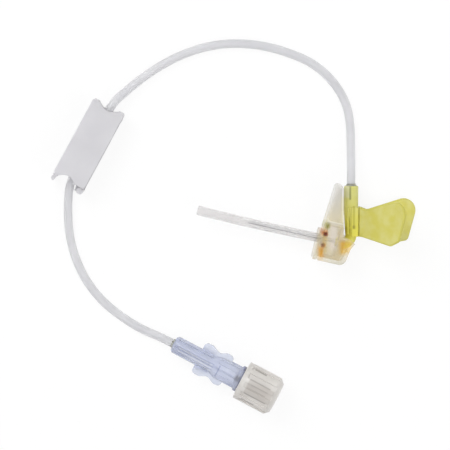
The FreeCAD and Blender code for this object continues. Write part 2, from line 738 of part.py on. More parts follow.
def make_luer():
    """Lavender female luer connector with a fluted barrel, two grip ears, a stop and screw lugs."""
    stop_end = LUER_STOP_AT + LUER_STOP_THICK
    body = turned([
        (0, LUER_BARREL_RADIUS - LUER_EDGE),
        (LUER_EDGE, LUER_BARREL_RADIUS),
        (LUER_BARREL_LENGTH, LUER_BARREL_RADIUS),
        (LUER_REAR_START, LUER_REAR_RADIUS),
        (LUER_STOP_AT - LUER_EDGE, LUER_REAR_RADIUS),
        (LUER_STOP_AT, LUER_STOP_RADIUS),
        (stop_end, LUER_STOP_RADIUS),
        (stop_end, LUER_NOSE_RADIUS),
        (LUER_LENGTH, LUER_NOSE_RADIUS),
    ])
    side = [
        (EAR_START, EAR_HALF_SPAN, EAR_FRONT_ROUND),
        (EAR_WAIST - EAR_LOBE_FRONT, EAR_HALF_SPAN, EAR_LOBE_ROUND),
        (EAR_WAIST, EAR_HALF_SPAN - EAR_DIP, EAR_WAIST_ROUND),
        (EAR_WAIST + EAR_LOBE_REAR, EAR_HALF_SPAN, EAR_LOBE_ROUND),
        (EAR_END, EAR_HALF_SPAN - EAR_TAPER, EAR_REAR_ROUND),
    ]
    other = [(along, -across, radius) for along, across, radius in reversed(side)]
    ears = plate(side + other, EAR_THICK, -EAR_THICK / 2)
    pieces = [body, ears]
    rib = block(
        (LUER_REAR_START, -REAR_RIB_WIDTH / 2, 0),
        (LUER_STOP_AT, REAR_RIB_WIDTH / 2, LUER_REAR_RADIUS + REAR_RIB_PROUD),
    )
    pieces += spun(rib, REAR_RIB_COUNT)
    for way in (-1, 1):
        lug = block((0, -LUG_WIDTH / 2, 0), (LUG_THICK, LUG_WIDTH / 2, LUG_RADIUS))
        lug = lug.common(Part.makeCylinder(LUG_RADIUS, LUG_THICK, V(0, 0, 0), V(1, 0, 0)))
        lug.rotate(V(0, 0, 0), V(1, 0, 0), 90 - 90 * way)
        lug.translate(V(LUER_LENGTH - LUG_THICK, 0, 0))
        pieces.append(lug)
    luer = joined(pieces)
    flute = block(
        (LUER_EDGE * 2, -FLUTE_WIDTH / 2, LUER_BARREL_RADIUS - FLUTE_DEPTH),
        (LUER_BARREL_LENGTH - LUER_EDGE, FLUTE_WIDTH / 2, LUER_BARREL_RADIUS + PAST),
    )
    flutes = spun(flute, FLUTE_COUNT)
    luer = luer.cut(flutes[0].multiFuse(flutes[1:]))
    taper_start = LUER_LENGTH - LUER_TAPER_DEPTH
    socket = Part.makeCylinder(
        TUBE_OD / 2 + SOCKET_GAP, LUER_SOCKET_DEPTH + PAST, V(-PAST, 0, 0), V(1, 0, 0))
    lumen = Part.makeCylinder(LUER_LUMEN / 2, LUER_LENGTH, V(0, 0, 0), V(1, 0, 0))
    taper_end = LUER_LENGTH + PAST
    taper = turned([(taper_start, luer_bore(taper_start)), (taper_end, luer_bore(taper_end))])
    return placed_luer(luer.cut(socket).cut(lumen).cut(taper))


def make_cap():
    """White screw cap with grip grooves and a cone that plugs the luer."""
    end = CAP_MOUTH_AT + CAP_LENGTH
    shell = turned([
        (CAP_MOUTH_AT, CAP_RADIUS),
        (end - CAP_END_CHAMFER, CAP_RADIUS),
        (end, CAP_RADIUS - CAP_END_CHAMFER),
    ])
    groove = block(
        (CAP_MOUTH_AT + CAP_BAND, -CAP_GROOVE_WIDTH / 2, CAP_RADIUS - CAP_GROOVE_DEPTH),
        (end + PAST, CAP_GROOVE_WIDTH / 2, CAP_RADIUS + PAST),
    )
    grooves = spun(groove, CAP_GROOVE_COUNT)
    shell = shell.cut(grooves[0].multiFuse(grooves[1:]))
    floor = CAP_MOUTH_AT + CAP_CAVITY_DEPTH
    cavity = turned([(CAP_MOUTH_AT - PAST, CAP_CAVITY_RADIUS), (floor, CAP_CAVITY_RADIUS)])
    tip = CAP_MOUTH_AT + CONE_SHORT
    cone = turned([(tip, luer_bore(tip) - CONE_GAP), (floor + PAST, luer_bore(floor + PAST) - CONE_GAP)])
    return placed_luer(joined([shell.cut(cavity), cone]))


def main():
    """Build every piece, report it and write one STEP file for each."""
    upper, lower = wing_hinges()
    nodes = {
        "needle_cannula": make_cannula(),
        "hub_body": make_hub(),
        "wing_upper": make_wing(upper, UPPER_WING_ANGLE),
        "wing_lower": make_wing(lower, lower_wing_angle()),
        "guard_shell": make_guard_shell(),
        "foot_plate": make_foot_plate(),
        "latch_clip": make_latch_clip(),
        "needle_sheath": make_sheath(),
        "tubing": make_tubing(),
        "clamp_base": make_clamp_base(),
        "clamp_lever": make_clamp_lever(),
        "luer_connector": make_luer(),
        "luer_cap": make_cap(),
    }
    os.makedirs("parts", exist_ok=True)
    for name, shape in nodes.items():
        box = shape.BoundBox
        print(
            name, "solids", len(shape.Solids), "valid", shape.isValid(), "volume", round(shape.Volume, 2),
            "x", round(box.XMin, 2), round(box.XMax, 2), "y", round(box.YMin, 2), round(box.YMax, 2),
            "z", round(box.ZMin, 2), round(box.ZMax, 2),
        )
        shape.exportStep(f"parts/{name}.step")
    print("lower wing angle", round(lower_wing_angle(), 3), "luer pitch", round(math.degrees(PITCH), 3))
    print("luer start", LUER_START, "cap mouth", on_luer(CAP_MOUTH_AT), "luer mouth", on_luer(LUER_LENGTH))


main()
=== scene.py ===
import json
import logging
import math
from dataclasses import dataclass
from enum import Enum
from typing import Sequence

import bmesh
import bpy
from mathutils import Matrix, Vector


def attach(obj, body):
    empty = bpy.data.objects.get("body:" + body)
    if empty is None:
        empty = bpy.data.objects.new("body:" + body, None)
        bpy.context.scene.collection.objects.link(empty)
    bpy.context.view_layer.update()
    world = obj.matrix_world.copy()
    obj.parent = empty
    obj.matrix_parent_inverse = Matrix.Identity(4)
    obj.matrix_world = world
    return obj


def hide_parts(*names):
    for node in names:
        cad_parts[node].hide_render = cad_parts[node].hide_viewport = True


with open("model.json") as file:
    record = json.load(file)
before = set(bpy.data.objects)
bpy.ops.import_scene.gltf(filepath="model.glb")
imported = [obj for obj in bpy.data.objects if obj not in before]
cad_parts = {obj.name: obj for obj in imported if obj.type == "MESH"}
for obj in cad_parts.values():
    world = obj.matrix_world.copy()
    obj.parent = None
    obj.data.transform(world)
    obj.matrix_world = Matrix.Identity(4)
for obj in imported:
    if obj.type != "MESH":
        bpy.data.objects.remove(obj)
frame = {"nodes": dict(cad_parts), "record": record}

# A safety huber needle set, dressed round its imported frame.
# Lengths are written in millimetres and turned to metres where a mesh or a node takes them.

LOG = logging.getLogger("huber_needle")
MM = 0.001
RIM_DISTANCE = "rim_distance_mm"
NOISE_SPAN = (0.3, 0.7)  # the values between which nearly all of a noise lies
WELD_MM = 0.0005
SHARP_DEGREES = 35.0
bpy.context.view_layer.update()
NODES: dict[str, bpy.types.Object] = frame["nodes"]


class Slot(Enum):
    """Names of the record's material slots for the yellow, clear and lavender finishes."""

    HUB = "yellow_hub"
    WING = "yellow_wing"
    SHEATH = "clear_sheath"
    TUBING = "clear_tubing"
    LUER = "lavender_luer"


class Body(Enum):
    """The frame's bodies that the new pieces ride on."""

    HUB = "hub"
    SHEATH = "sheath"
    UPPER_WING = "upper_wing"
    LOWER_WING = "lower_wing"


def linear(hex_colour: str) -> tuple[float, float, float, float]:
    """Turn an sRGB hex colour to the linear colour that a shader takes.

    Args:
        hex_colour: six hex digits, with or without a leading #.

    Returns:
        Red, green, blue and an alpha of 1.
    """
    digits = hex_colour.lstrip("#")
    values = [int(digits[i:i + 2], 16) / 255 for i in (0, 2, 4)]
    red, green, blue = (v / 12.92 if v <= 0.04045 else ((v + 0.055) / 1.055) ** 2.4 for v in values)
    return red, green, blue, 1.0


def add_node(
    tree: bpy.types.NodeTree,
    kind: str,
    inputs: dict[str | int, object] | None = None,
    **settings: object,
) -> bpy.types.Node:
    """Add a shader node with its settings, values and links.

    Args:
        tree: the material's or world's node tree.
        kind: the node's type name, without the ShaderNode in front.
        inputs: a value or another node's output for each input socket.
        **settings: the node's own properties.

    Returns:
        The new node.
    """
    made = tree.nodes.new("ShaderNode" + kind)
    for name, value in settings.items():
        setattr(made, name, value)
    for socket, value in (inputs or {}).items():
        if isinstance(value, bpy.types.NodeSocket):
            tree.links.new(value, made.inputs[socket])
        else:
            made.inputs[socket].default_value = value
    return made


def per_metre(size_mm: float) -> float:
    """Return the texture scale at which one cell of a pattern is that many millimetres."""
    return 1 / (size_mm * MM)


def blend_ramp(
    tree: bpy.types.NodeTree,
    factor: bpy.types.NodeSocket,
    stops: Sequence[tuple[float, str]],
) -> bpy.types.NodeSocket:
    """Map a factor to colours.

    Args:
        tree: the material's node tree.
        factor: the output that drives the ramp.
        stops: (place, hex colour) pairs in rising order.

    Returns:
        The ramp's colour output.
    """
    ramp = add_node(tree, "ValToRGB", {"Fac": factor})
    elements = ramp.color_ramp.elements
    while len(elements) < len(stops):
        elements.new(0.5)
    for element, (place, colour) in zip(elements, stops):
        element.position = place
        element.color = linear(colour)
    return ramp.outputs["Color"]


def range_of(
    tree: bpy.types.NodeTree,
    value: bpy.types.NodeSocket,
    source: tuple[float, float],
    target: tuple[float, float],
) -> bpy.types.NodeSocket:
    """Map a value from one range to another, clamped at both ends.

    Args:
        tree: the material's node tree.
        value: the output to map.
        source: the range that it has.
        target: the range that it gets.

    Returns:
        The mapped output.
    """
    return add_node(tree, "MapRange", {
        "Value": value,
        "From Min": source[0],
        "From Max": source[1],
        "To Min": target[0],
        "To Max": target[1],
    }).outputs["Result"]


def gap_from(tree: bpy.types.NodeTree, value: bpy.types.NodeSocket, centre: float) -> bpy.types.NodeSocket:
    """Measure how far a value is from a centre, on either side.

    Args:
        tree: the material's node tree.
        value: the output to measure.
        centre: the value that counts as no distance.

    Returns:
        The distance's output.
    """
    gap = add_node(tree, "Math", {0: value, 1: centre}, operation="SUBTRACT")
    return add_node(tree, "Math", {0: gap.outputs[0]}, operation="ABSOLUTE").outputs[0]


def lay_over(
    tree: bpy.types.NodeTree,
    share: bpy.types.NodeSocket,
    under: bpy.types.NodeSocket,
    over: bpy.types.NodeSocket | tuple[float, float, float, float],
) -> bpy.types.NodeSocket:
    """Lay one colour over another.

    Args:
        tree: the material's node tree.
        share: how much of the upper colour shows, from 0 to 1.
        under: the lower colour.
        over: the upper colour.

    Returns:
        The mixed colour's output.
    """
    # The node has sockets of every type: 0 is its factor, and 6, 7 and output 2 are its colours.
    return add_node(tree, "Mix", {0: share, 6: under, 7: over}, data_type="RGBA").outputs[2]


@dataclass(frozen=True)
class Plastic:
    """A moulded or extruded plastic, with cloudy colour and a faint moulded skin.

    The colour drifts between two shades over a few millimetres, as resin does where it cools unevenly,
    and the roughness and a shallow bump follow a finer noise, the texture of the mould's own face.
    """

    name: str
    pale: str
    deep: str
    cloud_mm: float
    skin_mm: float
    roughness: tuple[float, float]
    transmission: float
    ior: float
    skin_depth: float = 0.05
    alpha: float = 1.0

    def colour(self, tree: bpy.types.NodeTree, place: bpy.types.NodeSocket) -> bpy.types.NodeSocket:
        """Return the cloudy colour over the piece.

        Args:
            tree: the material's node tree.
            place: the piece's own coordinates, in metres.

        Returns:
            A colour output.
        """
        cloud = add_node(tree, "TexNoise", {
            "Vector": place,
            "Scale": per_metre(self.cloud_mm),
            "Detail": 3.0,
            "Roughness": 0.5,
        })
        return blend_ramp(tree, cloud.outputs["Fac"], [(0.35, self.pale), (0.65, self.deep)])

    def material(self) -> bpy.types.Material:
        """Return this finish as a Blender material, made once."""
        made = bpy.data.materials.get(self.name)
        if made:
            return made
        made = bpy.data.materials.new(self.name)
        made.use_nodes = True
        tree = made.node_tree
        tree.nodes.clear()
        place = add_node(tree, "TexCoord").outputs["Object"]
        skin = add_node(tree, "TexNoise", {
            "Vector": place,
            "Scale": per_metre(self.skin_mm),
            "Detail": 2.0,
        }).outputs["Fac"]
        bump = add_node(tree, "Bump", {
            "Height": skin,
            "Strength": self.skin_depth,
            "Distance": self.skin_mm * MM,
        })
        shader = add_node(tree, "BsdfPrincipled", {
            "Base Color": self.colour(tree, place),
            "Roughness": range_of(tree, skin, NOISE_SPAN, self.roughness),
            "Normal": bump.outputs["Normal"],
            "IOR": self.ior,
            "Transmission Weight": self.transmission,
            "Alpha": self.alpha,
        })
        add_node(tree, "OutputMaterial", {"Surface": shader.outputs["BSDF"]})
        return made


@dataclass(frozen=True)
class DrawnSteel:
    """Stainless steel tube, drawn and then polished.

    It has a soft, even gloss with faint long lines, and one dark line along its side: a painted reflection
    of the dark room above it.
    """

    name: str = "stainless_steel_drawn"
    pale: str = "#ECEDEF"
    deep: str = "#DEDFE2"
    # The colour of the painted reflection, a dark line along the needle's side.
    deepest: str = "#606164"
    line_mm: float = 0.3
    line_length_mm: float = 6.0
    painted_reflection_across_mm: float = -0.24
    painted_reflection_half_mm: float = 0.12
    roughness: tuple[float, float] = (0.22, 0.36)

    def material(self) -> bpy.types.Material:
        """Return this finish as a Blender material, made once."""
        made = bpy.data.materials.get(self.name)
        if made:
            return made
        made = bpy.data.materials.new(self.name)
        made.use_nodes = True
        tree = made.node_tree
        tree.nodes.clear()
        place = add_node(tree, "TexCoord").outputs["Object"]
        stretched = add_node(tree, "Mapping", {
            "Vector": place,
            "Rotation": (0.0, 0.0, HeadAxes.lean),
            "Scale": (per_metre(self.line_length_mm), per_metre(self.line_mm), per_metre(self.line_mm)),
        })
        lines = add_node(tree, "TexNoise", {
            "Vector": stretched.outputs["Vector"],
            "Scale": 1.0,
            "Detail": 2.0,
        }).outputs["Fac"]
        own = add_node(tree, "Mapping", {
            "Vector": place,
            "Rotation": (0.0, 0.0, -HeadAxes.lean),
        }, vector_type="TEXTURE")
        across = add_node(tree, "SeparateXYZ", {"Vector": own.outputs["Vector"]}).outputs["Y"]
        # Paint the dark reflection: a line along the needle's side, where the polished tube would mirror
        # the dark room.
        away = gap_from(tree, across, self.painted_reflection_across_mm * MM)
        half = self.painted_reflection_half_mm * MM
        fine = blend_ramp(tree, lines, [(NOISE_SPAN[0], self.deep), (NOISE_SPAN[1], self.pale)])
        shader = add_node(tree, "BsdfPrincipled", {
            "Base Color": lay_over(
                tree, range_of(tree, away, (half / 2, half), (1.0, 0.0)), fine, linear(self.deepest)),
            "Metallic": 1.0,
            "Roughness": range_of(tree, lines, NOISE_SPAN, self.roughness),
        })
        add_node(tree, "OutputMaterial", {"Surface": shader.outputs["BSDF"]})
        return made


class HeadAxes:
    """The needle's own axes: along, away from its point, and across, towards the finger tab."""

    to_point = Vector(next(m["axis"] for m in frame["record"]["mounts"] if m["name"] == "skin_face"))
    lean: float = math.atan2(to_point.y, -to_point.x)

    @classmethod
    def place(cls, along: float, across: float, height: float) -> Vector:
        """Turn a place in the needle's axes to one in the part's axes.

        Args:
            along: millimetres away from the needle's point.
            across: millimetres towards the finger tab.
            height: millimetres above the table.

        Returns:
            The same place in the part's axes, in metres.
        """
        cos, sin = math.cos(cls.lean), math.sin(cls.lean)
        return Vector((along * cos + across * sin, across * cos - along * sin, height)) * MM


@dataclass(frozen=True)
class Shade:
    """A soft-edged band in plan that looks deeper or paler: some show what lies inside the piece there,
    some are painted highlights, reflections and shade.
    """

    colour: str
    centre_mm: tuple[float, float]
    half_mm: tuple[float, float]
    soft_mm: float = 0.2
    strength: float = 1.0


@dataclass(frozen=True)
class GradedPlastic(Plastic):
    """A clear tinted plastic that may deepen towards one end, and shows bands of what lies inside it and
    bands of painted light and shade.
    """

    foot: str = ""
    foot_mm: float = 0.0
    top_mm: float = 0.0
    origin_mm: tuple[float, float] = (0.0, 0.0)
    turn_degrees: float = 0.0
    shades: tuple[Shade, ...] = ()

    def colour(self, tree: bpy.types.NodeTree, place: bpy.types.NodeSocket) -> bpy.types.NodeSocket:
        """Return the cloudy colour, graded along the part's Y and shaded by place in the piece's own axes.

        Args:
            tree: the material's node tree.
            place: the piece's own coordinates, in metres.

        Returns:
            A colour output.
        """
        shown = super().colour(tree, place)
        if self.foot:
            split = add_node(tree, "SeparateXYZ", {"Vector": place})
            depth = range_of(tree, split.outputs["Y"], (self.foot_mm * MM, self.top_mm * MM), (1.0, 0.0))
            shown = lay_over(tree, depth, shown, linear(self.foot))
        own = add_node(tree, "Mapping", {
            "Vector": place,
            "Location": (self.origin_mm[0] * MM, self.origin_mm[1] * MM, 0.0),
            "Rotation": (0.0, 0.0, math.radians(self.turn_degrees)),
        }, vector_type="TEXTURE")
        plan = add_node(tree, "SeparateXYZ", {"Vector": own.outputs["Vector"]})
        for shade in self.shades:
            shares = []
            for axis, centre, half in zip("XY", shade.centre_mm, shade.half_mm):
                away = gap_from(tree, plan.outputs[axis], centre * MM)
                edge = ((half - shade.soft_mm) * MM, (half + shade.soft_mm) * MM)
                shares.append(range_of(tree, away, edge, (1.0, 0.0)))
            both = add_node(tree, "Math", {0: shares[0], 1: shares[1]}, operation="MULTIPLY").outputs[0]
            share = add_node(tree, "Math", {0: both, 1: shade.strength}, operation="MULTIPLY").outputs[0]
            shown = lay_over(tree, share, shown, linear(shade.colour))
        return shown


@dataclass(frozen=True)
class BeadedPlastic(GradedPlastic):
    """The clip's plastic, which looks browner where the light has to cross the full depth of a jaw bead.

    The middle of a bead is deepest, and its colour spreads into the plastic round it as a halo.
    """

    bead: str = "#7A1E02"
    halo: str = "#F09038"
    bead_places_mm: tuple[tuple[float, float], ...] = ((-3.05, 1.72), (-3.1, -1.52))
    bead_mm: float = 0.95
    halo_mm: float = 1.5
    halo_stop: float = 0.42

    def colour(self, tree: bpy.types.NodeTree, place: bpy.types.NodeSocket) -> bpy.types.NodeSocket:
        """Return the cloudy colour with a deep spot at each bead.

        Args:
            tree: the material's node tree.
            place: the piece's own coordinates, in metres.

        Returns:
            A colour output.
        """
        base = super().colour(tree, place)
        flat = add_node(tree, "VectorMath", {0: place, 1: (1.0, 1.0, 0.0)}, operation="MULTIPLY").outputs[0]
        gaps = []
        for along, across in self.bead_places_mm:
            centre = HeadAxes.place(along, across, 0.0)
            gap = add_node(tree, "VectorMath", {0: flat, 1: centre}, operation="DISTANCE")
            gaps.append(gap.outputs["Value"])
        nearest = add_node(tree, "Math", {0: gaps[0], 1: gaps[1]}, operation="MINIMUM").outputs[0]
        spot = range_of(tree, nearest, (self.bead_mm * 0.5 * MM, self.halo_mm * MM), (0.0, 1.0))
        tint = blend_ramp(tree, spot, [(0.0, self.bead), (self.halo_stop, self.halo), (1.0, self.pale)])
        share = range_of(tree, nearest, (self.bead_mm * MM, self.halo_mm * MM), (1.0, 0.0))
        return lay_over(tree, share, base, tint)


@dataclass(frozen=True)
class SheetPlastic(Plastic):
    """The wings' soft plastic: its colour deepens in the last half millimetre before the rim."""

    rim: str = "#D6D05E"
    rim_mm: float = 0.5

    def colour(self, tree: bpy.types.NodeTree, place: bpy.types.NodeSocket) -> bpy.types.NodeSocket:
        """Return the cloudy colour with a deeper rim.

        Args:
            tree: the material's node tree.
            place: the piece's own coordinates, in metres.

        Returns:
            A colour output.
        """
        base = super().colour(tree, place)
        inside = add_node(tree, "Attribute", attribute_name=RIM_DISTANCE).outputs["Fac"]
        share = range_of(tree, inside, (0.0, self.rim_mm), (1.0, 0.0))
        return lay_over(tree, share, base, linear(self.rim))


# Plasticised PVC, extruded: soft, hazy with a grey cast, and drawn smooth by the die.
CLEAR_PVC = Plastic(
    "clear_pvc_extruded", "#F0F0F2", "#EAEAED", 9.0, 6.0, (0.34, 0.42), 0.5, 1.4, 0.004, 0.8)
# Polyethylene, extruded: stiffer and a little clearer than the tubing.
CLEAR_POLYETHYLENE = Plastic(
    "clear_polyethylene_extruded", "#F0EEEE", "#E9E7E7", 8.0, 5.0, (0.2, 0.28), 0.7, 1.38, 0.004, 0.6)
# Copolyester, moulded: clear, with the warm cast of a thick moulding, and golden or brown where the clip
# and its beads glow through. A yellow band along the tab's edge is a painted reflection of the hub.
CLEAR_COPOLYESTER = GradedPlastic(
    "clear_copolyester_moulded", "#E4E1DB", "#DDDAD3", 6.0, 4.0, (0.14, 0.24), 0.5, 1.34, 0.004, 0.55,
    foot="#EBE2C6", foot_mm=6.0, top_mm=12.5,
    shades=(
        Shade("#F8F2EC", (-0.4, 1.5), (1.0, 3.6), 0.5, 0.7),
        Shade("#F3CC52", (3.1, -1.5), (1.7, 1.9), 0.6, 0.85),
        Shade("#F2BC44", (-4.0, -3.0), (0.65, 1.8), 0.35, 0.9),
        Shade("#E6C860", (-2.9, 1.2), (0.6, 4.2), 0.35, 0.6),
        Shade("#A9A53A", (-2.3, 4.9), (0.9, 0.9), 0.4, 0.9),
        # Painted reflection: the hub's yellow, mirrored in the tab's edge beside it.
        Shade("#E8DF98", (2.4, 8.5), (0.5, 4.5), 0.35, 0.6),
        Shade("#F29A58", (-3.1, 2.9), (1.0, 0.6), 0.35, 0.8),
        Shade("#7A2604", (-2.65, 2.45), (0.6, 0.55), 0.2, 0.95),
        Shade("#98501E", (-3.47, -0.7), (0.5, 0.45), 0.2, 0.8),
        Shade("#FFF8E0", (3.1, 1.75), (1.8, 0.14), 0.1, 0.7),
        Shade("#FFF8E0", (3.1, 1.05), (1.8, 0.14), 0.1, 0.7),
        Shade("#AEB49A", (-0.4, -5.9), (4.2, 0.28), 0.2, 0.5),
    ))
# Polycarbonate with a yellow tint, moulded: glossy, deepest round the elbow, and darker over the steel.
YELLOW_POLYCARBONATE = GradedPlastic(
    "yellow_polycarbonate_moulded", "#ECEA96", "#E7E482", 3.0, 1.6, (0.14, 0.24), 0.25, 1.5, 0.006,
    foot="#ECE45A", foot_mm=4.0, top_mm=13.5,
    shades=(
        Shade("#E9E8BE", (3.7, 14.2), (0.75, 1.7), 0.35, 0.7),
        Shade("#979952", (4.42, 13.9), (0.26, 1.9), 0.16, 0.85),
        Shade("#BDB63C", (5.5, 7.0), (0.3, 3.2), 0.16, 0.7),
        Shade("#8D8530", (5.5, 4.2), (0.35, 0.5), 0.2, 0.6),
    ))
# Soft PVC with a yellow tint, moulded with a matt face: lets light glow through and never mirrors.
YELLOW_SOFT_PVC = SheetPlastic(
    "yellow_soft_pvc_moulded", "#E4DF88", "#DED768", 3.2, 0.5, (0.46, 0.6), 0.2, 1.5, 0.05)
# Polypropylene with an orange tint, moulded: waxy and pale where thin, and golden where it is thick.
ORANGE_POLYPROPYLENE = BeadedPlastic(
    "orange_polypropylene_moulded", "#F7EFDF", "#F1E5CC", 2.5, 0.8, (0.28, 0.4), 0.4, 1.49, 0.01, 0.6,
    foot="#F0DFB4", foot_mm=-5.0, top_mm=3.0,
    shades=(
        Shade("#F2BC2A", (3.1, -1.3), (1.4, 1.9), 0.5, 0.85),
        Shade("#F0AC14", (-3.7, -3.0), (1.0, 1.9), 0.4, 0.9),
        Shade("#8E8C00", (-2.5, 4.9), (1.0, 0.9), 0.35, 0.9),
    ))
# ABS with a lavender tint, moulded: half clear, so its ears, collar and stop show as paler and deeper
# bands, and its flutes and bore as pale and dark streaks, which are painted highlights and painted shade.
LAVENDER_ABS = GradedPlastic(
    "lavender_abs_moulded", "#DFE4F5", "#D4DAF0", 4.0, 1.2, (0.16, 0.26), 0.5, 1.45, 0.008,
    origin_mm=(-45.75, -29.95), turn_degrees=-27.0,
    shades=(
        Shade("#F2F5FC", (12.7, 3.9), (4.6, 1.1), 0.35, 0.6),
        Shade("#F2F5FC", (12.7, -3.9), (4.6, 1.1), 0.35, 0.6),
        # Painted highlights: pale streaks along the flutes and the bore.
        Shade("#F4F7FD", (7.0, 0.0), (5.4, 0.24), 0.14, 0.7),
        Shade("#F4F7FD", (7.0, -0.85), (5.4, 0.22), 0.14, 0.7),
        Shade("#F4F7FD", (8.4, -1.7), (4.2, 0.22), 0.14, 0.7),
        # Painted shade: dark lines between the flutes.
        Shade("#A3ABCB", (7.2, 0.46), (5.6, 0.13), 0.1, 0.6),
        Shade("#A3ABCB", (7.2, -0.42), (5.6, 0.13), 0.1, 0.6),
        Shade("#A3ABCB", (7.2, -1.28), (5.6, 0.13), 0.1, 0.6),
        Shade("#A3ABCB", (7.2, -2.15), (5.6, 0.13), 0.1, 0.5),
        Shade("#98A1C2", (14.4, -0.7), (0.17, 1.8), 0.12, 0.7),
        Shade("#9D9DA3", (20.3, 0.2), (0.7, 0.8), 0.35, 0.75),
        Shade("#74749A", (21.3, 3.6), (0.7, 0.6), 0.3, 0.75),
        Shade("#74749A", (21.2, -3.5), (0.7, 0.5), 0.3, 0.6),
    ))
# Natural polypropylene, moulded thick: cloudy warm white, with painted shade where the luer's cone lies
# behind it, and dark streaks of painted shade in its grooves and on its middle panel.
CLOUDY_POLYPROPYLENE = GradedPlastic(
    "natural_polypropylene_moulded", "#F6F3EF", "#ECE8E3", 5.0, 1.4, (0.3, 0.42), 0.35, 1.49, 0.01,
    origin_mm=(-45.75, -29.95), turn_degrees=-27.0,
    shades=(
        # Painted shade: greyer over the middle panel, where the luer's cone lies behind the wall.
        Shade("#D2CCC6", (27.3, -0.15), (3.9, 2.1), 0.2, 0.75),
        # Painted shade: dark streaks in the grooves and on the middle panel.
        Shade("#9A938D", (25.6, 4.75), (1.8, 0.16), 0.1, 0.7),
        Shade("#A59E98", (26.7, 2.0), (3.2, 0.14), 0.1, 0.7),
        Shade("#A59E98", (27.0, 0.75), (2.6, 0.12), 0.1, 0.5),
        Shade("#A59E98", (26.6, -0.5), (2.8, 0.12), 0.1, 0.5),
        Shade("#A59E98", (27.0, -2.3), (3.4, 0.16), 0.1, 0.75),
        Shade("#9A938D", (25.7, -4.35), (2.0, 0.16), 0.1, 0.7),
    ))
# Milky polypropylene, moulded thin enough to fold at its hinge: even, satin and slightly blue.
MILKY_POLYPROPYLENE = Plastic(
    "milky_polypropylene_moulded", "#E6E5E8", "#E1E0E4", 9.0, 1.2, (0.34, 0.46), 0.3, 1.49, 0.01)
# Acrylic adhesive, cured in place: clear, wet-looking and drawn up round the tube where it dried.
CURED_ACRYLIC = Plastic(
    "acrylic_adhesive_cured", "#EDEEE4", "#E2E3D4", 1.5, 0.3, (0.05, 0.12), 0.8, 1.49, 0.02)
STEEL = DrawnSteel()


def soften_edges(piece: bpy.types.Object, radius_mm: float, planar_degrees: float = 1.0) -> None:
    """Round a piece's moulded edges, with its flat faces joined first so that the rounding runs clean.

    Args:
        piece: the mesh to round.
        radius_mm: how wide each rounded edge is.
        planar_degrees: faces that turn less than this are joined.
    """
    weld = piece.modifiers.new("weld", "WELD")
    weld.merge_threshold = WELD_MM * MM
    flat = piece.modifiers.new("flat", "DECIMATE")
    flat.decimate_type = "DISSOLVE"
    flat.angle_limit = math.radians(planar_degrees)
    bevel = piece.modifiers.new("edge", "BEVEL")
    bevel.width = radius_mm * MM
    bevel.segments = 2
    bevel.limit_method = "ANGLE"
    bevel.angle_limit = math.radians(SHARP_DEGREES)
    bevel.use_clamp_overlap = False
    bevel.harden_normals = True


def dress(piece: bpy.types.Object, finish: Plastic | DrawnSteel) -> None:
    """Give a piece its finish in place of any material that it has."""
    piece.data.materials.clear()
    piece.data.materials.append(finish.material())


def new_piece(
    name: str,
    mesh: bpy.types.Mesh,
    body: Body,
    finish: Plastic,
) -> bpy.types.Object:
    """Make a piece of the set from a mesh in the part's axes.

    Args:
        name: the piece's name.
        mesh: its mesh, in metres.
        body: the frame body that it moves with.
        finish: its material.

    Returns:
        The new object, riding on its body.
    """
    piece = bpy.data.objects.new(name, mesh)
    bpy.context.scene.collection.objects.link(piece)
    mesh.shade_smooth()
    dress(piece, finish)
    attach(piece, body.value)
    LOG.info("piece %s on %s, %d faces", name, body.value, len(mesh.polygons))
    return piece


def hollow_tube(
    line: Sequence[Vector],
    outside_mm: Sequence[float],
    bore_mm: float,
    sides: int,
) -> bpy.types.Mesh:
    """Return the mesh of a round hollow tube along a line.

    Args:
        line: the points that the tube's middle follows, in metres.
        outside_mm: the tube's outer diameter at each point.
        bore_mm: the bore's diameter.
        sides: how many facets go round.

    Returns:
        A closed mesh with an outer skin, a bore and two ring ends.
    """
    shell = bmesh.new()
    across = Vector((0.3, 0.2, 1.0))
    rings: list[list[list[bmesh.types.BMVert]]] = []
    for index, centre in enumerate(line):
        ahead = line[min(index + 1, len(line) - 1)] - line[max(index - 1, 0)]
        ahead.normalize()
        across = (across - ahead * across.dot(ahead)).normalized()
        up = ahead.cross(across)
        pair = []
        for radius in (outside_mm[index] / 2 * MM, bore_mm / 2 * MM):
            ring = []
            for side in range(sides):
                turn = math.tau * side / sides
                out = across * math.cos(turn) + up * math.sin(turn)
                ring.append(shell.verts.new(centre + out * radius))
            pair.append(ring)
        rings.append(pair)
    for before, after in zip(rings, rings[1:]):
        for layer in (0, 1):
            for side in range(sides):
                following = (side + 1) % sides
                shell.faces.new((
                    before[layer][side], before[layer][following],
                    after[layer][following], after[layer][side],
                ))
    for outer, inner in (rings[0], rings[-1]):
        for side in range(sides):
            following = (side + 1) % sides
            shell.faces.new((outer[side], outer[following], inner[following], inner[side]))
    bmesh.ops.recalc_face_normals(shell, faces=shell.faces)
    mesh = bpy.data.meshes.new("tube")
    shell.to_mesh(mesh)
    shell.free()
    return mesh


